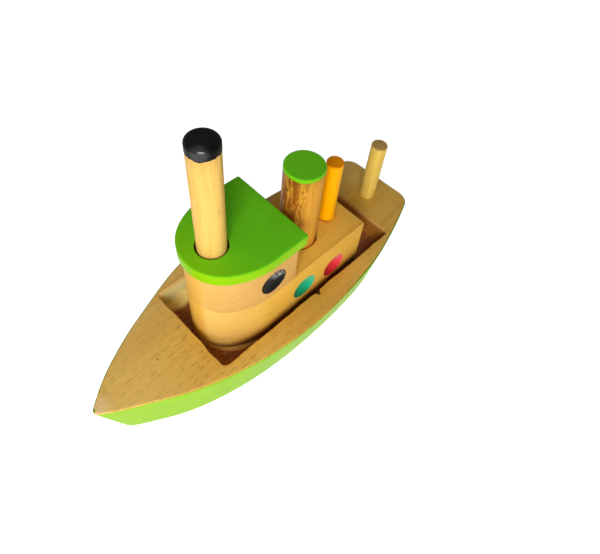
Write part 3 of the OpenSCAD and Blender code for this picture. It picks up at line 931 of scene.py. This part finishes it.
def block(
    shape, front, foot, top, ease, holes_top=(), holes_foot=(), portholes=(), finishes=(0, 0, 0), steps=3
):
    """A block of the cabin between two heights. ease is (bottom, top), each one number or one for each point.
    finishes are those of the foot, the wall and the top. Portholes are (x, z, radius, depth, finish)."""
    loop = front.loop()
    count = len(loop)
    foot_finish, wall_finish, top_finish = finishes
    low_ease, high_ease = (each(e, count) for e in ease)
    low = [eased(shape, loop, low_ease, 1 - up, foot, into, 1 - up) for into, up in quarter(steps)]
    high = [eased(shape, loop, high_ease, into, top, up - 1, up) for into, up in quarter(steps)]
    foot_rim = eased(shape, loop, [e + RIM_STEP for e in low_ease], 1, foot, 0)
    top_rim = eased(shape, loop, [e + RIM_STEP for e in high_ease], 1, top, 0)
    shape.skin([foot_rim] + low, foot_finish)
    shape.skin(high + [top_rim], top_finish)
    shape.plate(foot_rim, [h[-1] for h in holes_foot], foot_finish)
    shape.plate(top_rim, [h[0] for h in holes_top], top_finish)

    cut = set()  # the strips of wall that a plate with portholes takes the place of
    for side in (1, -1) if portholes else ():
        aft = min(x - r for x, _, r, _, _ in portholes) - HOLE_MARGIN
        fore = max(x + r for x, _, r, _, _ in portholes) + HOLE_MARGIN
        straights = [i for i, (_, y, _, ny) in enumerate(loop) if y * side > 0 and abs(ny) > 0.7]
        run = sorted((i for i in straights if aft < loop[i][0] < fore), key=lambda i: loop[i][0])
        cut.update(frozenset(pair) for pair in zip(run, run[1:]))
        made = [dish(shape, front, side, *hole[:4]) for hole in portholes]
        rows = [foot + 1 + k * (top - foot - 2) / WALL_ROWS for k in range(WALL_ROWS + 1)]
        inner = [(loop[i][0], z) for i in run[1:-1] for z in rows]
        for x, z, r, _, _ in portholes:
            inner = [place for place in inner if math.dist(place, (x, z)) > r + 1]
        shape.plate(
            [low[-1][i] for i in run] + [high[0][i] for i in run[::-1]],
            [rings[0] for rings, _ in made],
            wall_finish,
            flat=lambda p: (p.x, p.z),
            inner=inner,
            lift=lambda x, z, side=side: (x, side * front.wall_y(x), z),
        )
        for (rings, middle), hole in zip(made, portholes):
            shape.skin(rings[:3], wall_finish)
            shape.skin(rings[2:], hole[4])
            shape.fan(rings[-1], middle, hole[4])
    for i in range(count):
        j = (i + 1) % count
        if frozenset((i, j)) not in cut:
            shape.face((low[-1][i], low[-1][j], high[0][j], high[0][i]), wall_finish)


def place_on_boat(shape, hull):
    """Turns a shape drawn in the well's frame into the frame of the boat."""
    for p in shape.points:
        p.x, p.y = well_place(hull, p.x, p.y)


def well_frame(hull, node):
    """The measures of a round CAD node, with its axis in the well's frame."""
    found = round_node(node)
    x, y = found.x - mm(hull.well_x), found.y - mm(hull.well_y)
    c, s = math.cos(hull.skew), math.sin(hull.skew)
    return found._replace(x=x * c + y * s, y=-x * s + y * c)


class BOAT_OT_deckhouse(bpy.types.Operator):
    """Shapes the deckhouse with its painted portholes and its two bores"""

    bl_idname = "boat.deckhouse"
    bl_label = "Deckhouse"

    def execute(self, context):
        hull, cabin, hues = settings_of(context.scene)
        low, high = (mm(c.z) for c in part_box("deckhouse"))
        aft = mm(cabin.fore_x - cabin.deckhouse_l)
        front = Front(cabin, aft)
        loose, peg = well_frame(hull, "loose_dowel"), well_frame(hull, "orange_peg")
        peg_x, peg_y = well_place(hull, peg.x, peg.y)
        beech = wood(
            "deckhouse_beech", hues.cabin, hues.cabin_dark, shift=(7, 3, 21), heart=(-46, 30), gap=3.1,
            marks=0.3,
            spots=[
                ((peg_x, peg_y, high), peg.r + 0.2, peg.r + 2.6, (236, 150, 40), 0.5),  # paint round the peg
                ((peg_x + 2.2, peg_y + 1.6, high), 1.5, 4.6, (206, 112, 16), 0.7),  # an orange smear: spilt paint, and a painted reflection of the peg
            ],
            fades=[
                ((1, 0, 0), -66, -24, (206, 158, 70), 0.5),  # darker aft
                ((1, 0, 0), 38, 14, (238, 196, 108), 0.85),  # the pale nose
                ((0, 1, 0), 1.5, 4.5, (228, 172, 66), 0.85),  # painted shade on the starboard half, the side away from the light
                ((0.5, 0.85, 0), 34, 23, (200, 150, 76), 0.8),  # the port shoulder
                ((0, -0.42, 1), low - 4.5, low + 1, (92, 50, 18), 0.95),  # painted shade along the foot to port, where the well's wall shades it
            ],
        )
        glossy = []
        # Each dish has painted light up and aft and painted shade down and forward.
        for name, at, shade, pale, deep in (
            ("turquoise_gloss", cabin.port_fore, hues.turquoise, (104, 212, 166), (16, 84, 48)),
            ("red_gloss", cabin.port_aft, hues.red, (255, 120, 128), (150, 30, 40)),
        ):
            (x, y), z = well_place(hull, aft + mm(at[0]), front.half), low + mm(at[1])
            upper, lower = -0.7 * x + 0.7 * z, -0.5 * x + 0.85 * z
            painted_shading = [
                ((-0.7, 0, 0.7), upper + 5.5, upper - 0.5, pale, 0.5),  # painted light, up and aft in the dish
                ((-0.5, 0, 0.85), lower - 6.5, lower - 1, deep, 0.6),  # painted shade, down and forward in the dish
            ]
            # Painted glints: pale reflections high and aft in the dish, broken like scratches.
            glints = ((x - 3, y - 0.8, z + 3), 1.0, 4.4)
            glossy.append(paint(name, shade, rough=0.22, coat=0.3, relief=0.2, glints=glints, fades=painted_shading))
        shape = Shape()
        portholes = [
            porthole(cabin, cabin.port_fore, aft, low, 1),
            porthole(cabin, cabin.port_aft, aft, low, 2),
        ]
        peg_depth = high - peg.foot + GLUE_POCKET
        bores = [
            bore_rings(shape, loose.x, loose.y, mm(cabin.loose_bore) / 2, high, mm(cabin.loose_seat)),
            bore_rings(shape, peg.x, peg.y, peg.r + GLUE_GAP, high, peg_depth, PEG_MOUTH, count=48),
        ]
        for rings in bores:
            sink(shape, rings)
        wheel_aft = mm(cabin.fore_x - cabin.wheelhouse_l)
        top_ease = [0.3 if x < wheel_aft - 0.5 else 0.07 for x, _, _, _ in front.loop()]  # sharp at the seam
        block(shape, front, low, high, (0.3, top_ease), holes_top=bores, portholes=portholes)
        place_on_boat(shape, hull)
        piece = shape.build("deckhouse_block", [beech, *glossy])
        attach(piece, "cabin")
        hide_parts("deckhouse")
        return {"FINISHED"}


class BOAT_OT_wheelhouse(bpy.types.Operator):
    """Shapes the wheelhouse with its black porthole and the funnel's bore"""

    bl_idname = "boat.wheelhouse"
    bl_label = "Wheelhouse"

    def execute(self, context):
        hull, cabin, hues = settings_of(context.scene)
        low, high = (mm(c.z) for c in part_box("wheelhouse"))
        aft = mm(cabin.fore_x - cabin.wheelhouse_l)
        front = Front(cabin, aft)
        beech = wood(
            "wheelhouse_beech", hues.wheel, hues.wheel_dark, shift=(60, 23, 2), heart=(31, 76), figure=0.34,
            marks=0.12,
            fades=[
                ((1, 0, 0), 12, 38, (206, 156, 84), 0.75),  # all but the nose
                ((0.5, 0.85, 0), 31, 20, (204, 154, 84), 0.8),  # the port shoulder
                ((0, 1, 0), 1.5, 5.0, (230, 174, 72), 0.8),  # painted shade on the starboard half, the side away from the light
            ],
        )
        # Painted glints: pale reflections high and aft on the black porthole, broken like scratches.
        x, y = well_place(hull, aft + mm(cabin.port_wheel[0]) - 3, front.half - 2)
        glints = ((x, y, low + mm(cabin.port_wheel[1]) + 3), 3.0, 6.0)
        black = paint("black_gloss", hues.black, rough=0.2, coat=0.12, relief=0.5, glints=glints)
        shape = Shape()
        portholes = [porthole(cabin, cabin.port_wheel, aft, low, 1)]
        bore_x, depth = mm(cabin.fore_x - cabin.funnel_back), mm(cabin.funnel_seat - cabin.roof_t)
        bore = bore_rings(shape, bore_x, 0, mm(cabin.funnel_bore) / 2, high, depth)
        sink(shape, bore)
        block(shape, front, low, high, (0.07, 0.1), holes_top=[bore], portholes=portholes)
        place_on_boat(shape, hull)
        piece = shape.build("wheelhouse_block", [beech, black])
        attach(piece, "cabin")
        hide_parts("wheelhouse")
        return {"FINISHED"}


class BOAT_OT_roof(bpy.types.Operator):
    """Shapes the green roof board and bores it for the funnel"""

    bl_idname = "boat.roof"
    bl_label = "Roof"

    def execute(self, context):
        hull, cabin, hues = settings_of(context.scene)
        low, high = (mm(c.z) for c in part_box("roof"))
        aft = mm(cabin.fore_x - cabin.wheelhouse_l - cabin.roof_aft)
        front = Front(cabin, aft, mm(cabin.roof_over), corner=1.0)
        yellower_front = [((1, 0, 0), 46, 22, (128, 194, 10), 0.85)]  # the roof is yellower towards the front
        top = paint("roof_green", hues.roof_top, rough=0.36, specks=0.5, fades=yellower_front)
        edge = paint("roof_edge_green", hues.roof_edge, tint=0.06)
        # The bore's wall is near black: painted shade in the gap round the funnel.
        shaded_bore_wood = wood(
            "bore_beech_painted_shade", shaded(hues.cabin_dark, 0.3), shaded(hues.cabin_dark, 0.12), upright=True, rough=0.7
        )
        on_top, on_edge, on_bore = range(3)
        shape = Shape()
        x, r = mm(cabin.fore_x - cabin.funnel_back), mm(cabin.funnel_bore) / 2
        levels = [(r + 0.45, high), (r + 0.25, high), (r + 0.08, high - 0.08), (r, high - 0.25), (r, low)]
        bore = [shape.circle(x, 0, q, z, 72) for q, z in levels]
        shape.skin(bore[:3], on_top)
        shape.skin(bore[2:], on_bore)
        finishes = (on_edge, on_edge, on_top)
        block(shape, front, low, high, (0.4, 0.6), [bore], [bore], finishes=finishes, steps=4)
        for p in shape.points:
            p.y -= 0.35 * smooth(8, 20, -p.y)  # the starboard side is a little wider
        place_on_boat(shape, hull)
        piece = shape.build("roof_board", [top, edge, shaded_bore_wood])
        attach(piece, "cabin")
        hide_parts("roof")
        return {"FINISHED"}


# ---------------------------------------------------------------- round pieces

FOOT_EASE, TOP_EASE = 0.8, 0.55
BEAD = ((0.0, 0.0), (0.3, 0.03), (0.27, 0.2), (0.08, 0.45), (0.0, 0.7))  # paint at a foot: (out, up)
RUBBED_TURN = 38  # degrees from the bow towards port, on the funnel and the loose dowel


def dip(angle):
    """How far a dipped edge of paint hangs below its mean, round the piece: it ran down towards the bow."""
    turn = (math.degrees(angle) - RUBBED_TURN + 180) % 360 - 180
    return -0.55 * math.exp(-((turn / 24) ** 4)) - 0.35 * swell(turn, -62, 14)


def turned(node, profile, count=72, wander=0.0):
    """A round piece on a CAD node's axis. profile is (radius, height, finish of the band above, wave) from
    the node's foot up; wave lets a paint edge wander up and down, and wander makes the wood uneven."""
    x, y, _, foot, _, _ = round_node(node)
    shape, rings = Shape(), []
    for r, z, _, wave in profile:
        points = []
        for i in range(count):
            a = TURN * i / count
            sway = wave * (dip(a) + 0.45 * ripple(3 * math.cos(a), 3 * math.sin(a), 7.0, 1.4))
            out = r * (1 - wander * abs(ripple(math.cos(a), math.sin(a), z, 0.35)))
            points.append((x + out * math.cos(a), y + out * math.sin(a), foot + z + sway))
        rings.append(shape.ring(points))
    _, first, below, _ = profile[0]
    _, last, above, _ = profile[-1]
    shape.fan(rings[0], (x, y, foot + first), below)
    for a, b, (_, _, finish, _) in zip(rings, rings[1:], profile):
        shape.bridge(a, b, finish)
    shape.fan(rings[-1], (x, y, foot + last), above)
    return shape


def shaft(r, height, stops):
    """Profile of a dowel from its eased foot up, with a level at each stop, a share of the height."""
    levels = [(r * 0.5, 0, 0, 0), (r - FOOT_EASE - 0.2, 0, 0, 0)]
    levels += [(r - FOOT_EASE * (1 - up), FOOT_EASE * into, 0, 0) for into, up in quarter(4)]
    return levels + [(r, height * stop, 0, 0) for stop in stops]


class BOAT_OT_funnel(bpy.types.Operator):
    """Turns the funnel from a pale dowel and dips its top in black lacquer"""

    bl_idname = "boat.funnel"
    bl_label = "Funnel"

    def execute(self, context):
        hues = context.scene.boat_colours
        x, y, r, _, top, l = round_node("funnel")
        pale = wood(
            "funnel_beech", hues.pale, shaded(hues.pale, 0.8), upright=True, shift=(0, 20, -12), figure=0.25,
            marks=0.5, mark=(190, 130, 60)
        )
        turn = math.radians(RUBBED_TURN)
        rubbed = (x + r * math.cos(turn), y + r * math.sin(turn), top - 1.9)
        polish = (rubbed, 1.4, 4.2)
        lacquer = paint("dipped_black", hues.black, rough=0.3, upright=True, coat=0.8, polish=polish)
        bare, line = r - 0.07, l - 4.1  # under the lacquer's film, and where its edge lies
        profile = shaft(bare, line, (0.25, 0.5, 0.75, 0.9))
        profile += [(bare, line, 1, 1), (bare + 0.05, line + 0.04, 1, 1), (r, line + 0.2, 1, 1)]
        profile += [(r, line + 1.2, 1, 0.6)]
        profile += [(r - 1.7 * into, l - 1.6 * (1 - up), 1, 0) for into, up in quarter(9)]
        profile += [(r - 2.0, l, 1, 0), (r * 0.5, l, 1, 0)]
        shape = turned("funnel", profile, count=96)
        piece = shape.build("funnel_dowel", [pale, lacquer])
        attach(piece, "funnel")
        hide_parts("funnel")
        return {"FINISHED"}


class BOAT_OT_loose_dowel(bpy.types.Operator):
    """Turns the streaky loose dowel and paints its top green"""

    bl_idname = "boat.loose_dowel"
    bl_label = "Loose dowel"

    def execute(self, context):
        hues = context.scene.boat_colours
        x, y, r, _, _, l = round_node("loose_dowel")
        stain = ((x, y, 0), (0.87, -0.5, 0), -2.5, 6.5, hues.streak)
        streaky = wood(
            "streaky_beech", linear(234, 172, 62), linear(200, 128, 40), upright=True, shift=(0, 3, 17),
            stain=stain, marks=0.35, mark=(140, 80, 36)
        )
        blend = tuple(0.4 * a + 0.6 * b for a, b in zip(hues.roof_edge, hues.roof_top))
        band = paint("dowel_edge_green", blend, rough=0.36, upright=True, tint=0.06)
        top = paint("dowel_top_green", hues.roof_top, rough=0.36, tint=0.08)
        bare, line = r - 0.1, l - 1.6  # under the paint's film, and where its edge lies
        profile = shaft(bare, line, (0.25, 0.5, 0.75, 0.9))
        profile += [(bare, line, 1, 0.6), (bare + 0.05, line + 0.03, 1, 0.6), (r, line + 0.15, 1, 0.6)]
        profile += [(r - 0.7 * into, l - 0.7 * (1 - up), 1 if up < 0.6 else 2, 0) for into, up in quarter(6)]
        profile += [(r - 1.0, l, 2, 0), (r * 0.5, l, 2, 0)]
        shape = turned("loose_dowel", profile, count=96)
        piece = shape.build("green_topped_dowel", [streaky, band, top])
        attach(piece, "loose_dowel")
        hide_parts("loose_dowel")
        return {"FINISHED"}


class BOAT_OT_pegs(bpy.types.Operator):
    """Turns the orange peg and the bare stern peg"""

    bl_idname = "boat.pegs"
    bl_label = "Pegs"

    def execute(self, context):
        hues = context.scene.boat_colours
        orange = paint("orange_peg_paint", hues.orange, rough=0.3, upright=True, relief=0.2, tint=0.08)
        # The top is a darker, redder copy of the orange paint: painted shade on the face that looks up.
        shaded_orange = tuple(c * k for c, k in zip(hues.orange, (0.85, 0.62, 1.0)))
        painted_shading = paint("orange_peg_top_shaded", shaded_orange, rough=0.5)
        cut = {"upright": True, "shift": (0, -9, 30)}
        pale, pale_dark = linear(246, 214, 104), linear(210, 170, 76)
        bare = wood("stern_peg_beech", pale, pale_dark, marks=0.4, figure=0.3, **cut)
        end = wood("stern_peg_end", linear(206, 170, 100), linear(170, 126, 62), rough=0.6, **cut)
        for node, body, name, finishes, slot in (
            ("orange_peg", "cabin", "orange_painted_peg", (orange, painted_shading), "orange_paint"),
            ("stern_peg", "hull", "bare_stern_peg", (bare, end), "peg_wood"),
        ):
            _, _, r, foot, _, l = round_node(node)
            profile = shaft(r, l, (0.2, 0.4, 0.6, 0.8))
            profile += [(r - TOP_EASE * into, l - TOP_EASE * (1 - up), 1, 0) for into, up in quarter(5)]
            profile += [(r - TOP_EASE - 0.2, l, 1, 0), (r * 0.5, l, 1, 0)]
            if node == "orange_peg":
                seat = mm(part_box("deckhouse")[1].z) - foot
                profile += [(r + out, seat + up, 0, 0) for out, up in BEAD]
                profile.sort(key=lambda level: level[1])
            shape = turned(node, profile, wander=0.012)
            piece = shape.build(name, finishes)
            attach(piece, body)
            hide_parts(node)
        return {"FINISHED"}


class BOAT_OT_hidden_dowels(bpy.types.Operator):
    """Finishes the hidden dowels that hold the cabin together"""

    bl_idname = "boat.hidden_dowels"
    bl_label = "Hidden dowels"

    def execute(self, context):
        hues = context.scene.boat_colours
        cut = {"upright": True, "shift": (0, 11, 4)}
        finish = wood("hidden_dowel_beech", hues.cabin, hues.cabin_dark, rough=0.6, **cut)
        for node in ("cabin_dowels", "roof_dowels"):
            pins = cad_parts[node]
            pins.data.materials.clear()
            pins.data.materials.append(finish)
        return {"FINISHED"}


# ---------------------------------------------------------------- stage

PICTURE = (600, 554)  # pixels
FOCAL, CENTRE = 516.08, (316.0, 228.0)  # pixels
CAMERA_AT = (0.10127601, 0.09557009, 0.24621528)
CAMERA_ANGLES = (34.678, 51.126, 9.479)  # degrees: turned to port of the bow, up and rolled
LAMPS_AIM = (0, 0, 0.04)
FLOOR_REACH, FLOOR_DROP = 3000, -0.05
FLOOR_GLOW = 0.86
WHITE = (1.0, 1.0, 1.0)


def add_lamp(name, strength, size, azimuth, elevation, distance):
    """A soft oblong lamp, its azimuth measured from the bow towards port, in degrees and metres."""
    lamp = bpy.data.lights.new(name, "AREA")
    lamp.shape = "RECTANGLE"
    lamp.energy, lamp.size, lamp.size_y = strength, *size
    thing = bpy.data.objects.new(name, lamp)
    a, e = math.radians(azimuth), math.radians(elevation)
    away = Vector((math.cos(a) * math.cos(e), math.sin(a) * math.cos(e), math.sin(e)))
    thing.location = Vector(LAMPS_AIM) + away * distance
    thing.rotation_euler = away.to_track_quat("Z", "Y").to_euler()
    bpy.context.scene.collection.objects.link(thing)


def add_floor(settings):
    """A wide floor that shows as the pale background."""
    n = Finish("pale_floor")
    n.feed(Base_Color=settings.floor, Roughness=0.9)
    glow = n.node("Emission", {"Color": WHITE, "Strength": FLOOR_GLOW})
    none = n.node("Emission", {"Strength": 0.0})
    lift = n.node("MixShader", {0: n.seen(), 1: none.outputs[0], 2: glow.outputs[0]})
    both = n.node("AddShader", {0: n.shader.outputs[0], 1: lift.outputs[0]})
    n.join(both.outputs[0], n.output.inputs["Surface"])
    shape = Shape()
    corners = ((-1, -1), (1, -1), (1, 1), (-1, 1))
    shape.face(shape.ring([(x * FLOOR_REACH, y * FLOOR_REACH, FLOOR_DROP) for x, y in corners]))
    floor = shape.build("floor", [n.material])


def add_room(scene, sky):
    """A dim room that shows as the pale background."""
    world = bpy.data.worlds.new("pale_room")
    scene.world = world
    n = Nodes(world)
    room = n.node("Background", {"Color": WHITE, "Strength": sky})
    white = n.node("Background", {"Color": WHITE})
    blend = n.node("MixShader", {0: n.seen(), 1: room.outputs[0], 2: white.outputs[0]})
    n.node("OutputWorld", {"Surface": blend.outputs[0]})


def place_camera(scene):
    """The camera of the photograph."""
    width, height = PICTURE
    turn, up_angle, roll = (math.radians(a) for a in CAMERA_ANGLES)
    reach = math.cos(up_angle)
    back = Vector((reach * math.cos(turn), reach * math.sin(turn), math.sin(up_angle)))
    level = Vector((0, 0, 1)).cross(back).normalized()
    upward = back.cross(level)
    right = math.cos(roll) * level + math.sin(roll) * upward
    up = math.cos(roll) * upward - math.sin(roll) * level
    camera = bpy.data.cameras.new("photo_camera")
    camera.sensor_fit = "HORIZONTAL"
    camera.sensor_width = 36.0
    camera.lens = FOCAL / width * camera.sensor_width
    camera.shift_x = (width / 2 - CENTRE[0]) / width
    camera.shift_y = (CENTRE[1] - height / 2) / width
    camera.clip_start, camera.clip_end = 0.01, 20
    thing = bpy.data.objects.new("photo_camera", camera)
    facing = Matrix((right, up, back)).transposed().to_4x4()
    thing.matrix_world = Matrix.Translation(Vector(CAMERA_AT)) @ facing
    scene.collection.objects.link(thing)
    scene.camera = thing


class BOAT_OT_stage(bpy.types.Operator):
    """Sets up the pale floor, the soft lamps and the camera"""

    bl_idname = "boat.stage"
    bl_label = "Stage"

    def execute(self, context):
        scene, settings = context.scene, context.scene.boat_stage
        add_floor(settings)
        add_room(scene, settings.sky)
        add_lamp("key_lamp", settings.key_power, (0.18, 0.18), 38, 37, 0.45)
        add_lamp("fill_lamp", settings.fill_power, (0.6, 0.16), 46, 9, 0.55)
        add_lamp("stern_lamp", settings.stern_power, (0.25, 0.25), 122, 22, 0.5)
        add_lamp("bow_lamp", settings.bow_power, (0.2, 0.2), -38, 16, 0.5)
        scene.view_settings.view_transform = "Standard"
        place_camera(scene)
        return {"FINISHED"}


class BOAT_PT_panel(bpy.types.Panel):
    """Lists the boat's pieces and their settings"""

    bl_label = "Wooden Toy Boat"
    bl_idname = "BOAT_PT_panel"
    bl_space_type = "VIEW_3D"
    bl_region_type = "UI"
    bl_category = "Toy Boat"

    def draw(self, context):
        column = self.layout.column()
        for operator in OPERATORS:
            column.operator(operator.bl_idname)
        for name in GROUPS:
            box = self.layout.box()
            group = getattr(context.scene, name)
            for field in group.bl_rna.properties:
                if field.identifier not in ("rna_type", "name"):
                    box.prop(group, field.identifier)


OPERATORS = (
    BOAT_OT_hull,
    BOAT_OT_deckhouse,
    BOAT_OT_wheelhouse,
    BOAT_OT_roof,
    BOAT_OT_funnel,
    BOAT_OT_loose_dowel,
    BOAT_OT_pegs,
    BOAT_OT_hidden_dowels,
    BOAT_OT_stage,
)
GROUPS = {
    "boat_hull": BoatHullSizes,
    "boat_cabin": BoatCabinSizes,
    "boat_colours": BoatColours,
    "boat_stage": BoatStageSettings,
}


def register():
    for group in GROUPS.values():
        bpy.utils.register_class(group)
    for thing in OPERATORS + (BOAT_PT_panel,):
        bpy.utils.register_class(thing)
    for name, group in GROUPS.items():
        setattr(bpy.types.Scene, name, PointerProperty(type=group))


def unregister():
    for name in GROUPS:
        delattr(bpy.types.Scene, name)
    for thing in (BOAT_PT_panel,) + OPERATORS[::-1]:
        bpy.utils.unregister_class(thing)
    for group in list(GROUPS.values())[::-1]:
        bpy.utils.unregister_class(group)


def main():
    """Builds the pieces in order."""
    register()
    bpy.ops.boat.hull()
    bpy.ops.boat.deckhouse()
    bpy.ops.boat.wheelhouse()
    bpy.ops.boat.roof()
    bpy.ops.boat.funnel()
    bpy.ops.boat.loose_dowel()
    bpy.ops.boat.pegs()
    bpy.ops.boat.hidden_dowels()
    bpy.ops.boat.stage()


if __name__ == "__main__":
    main()
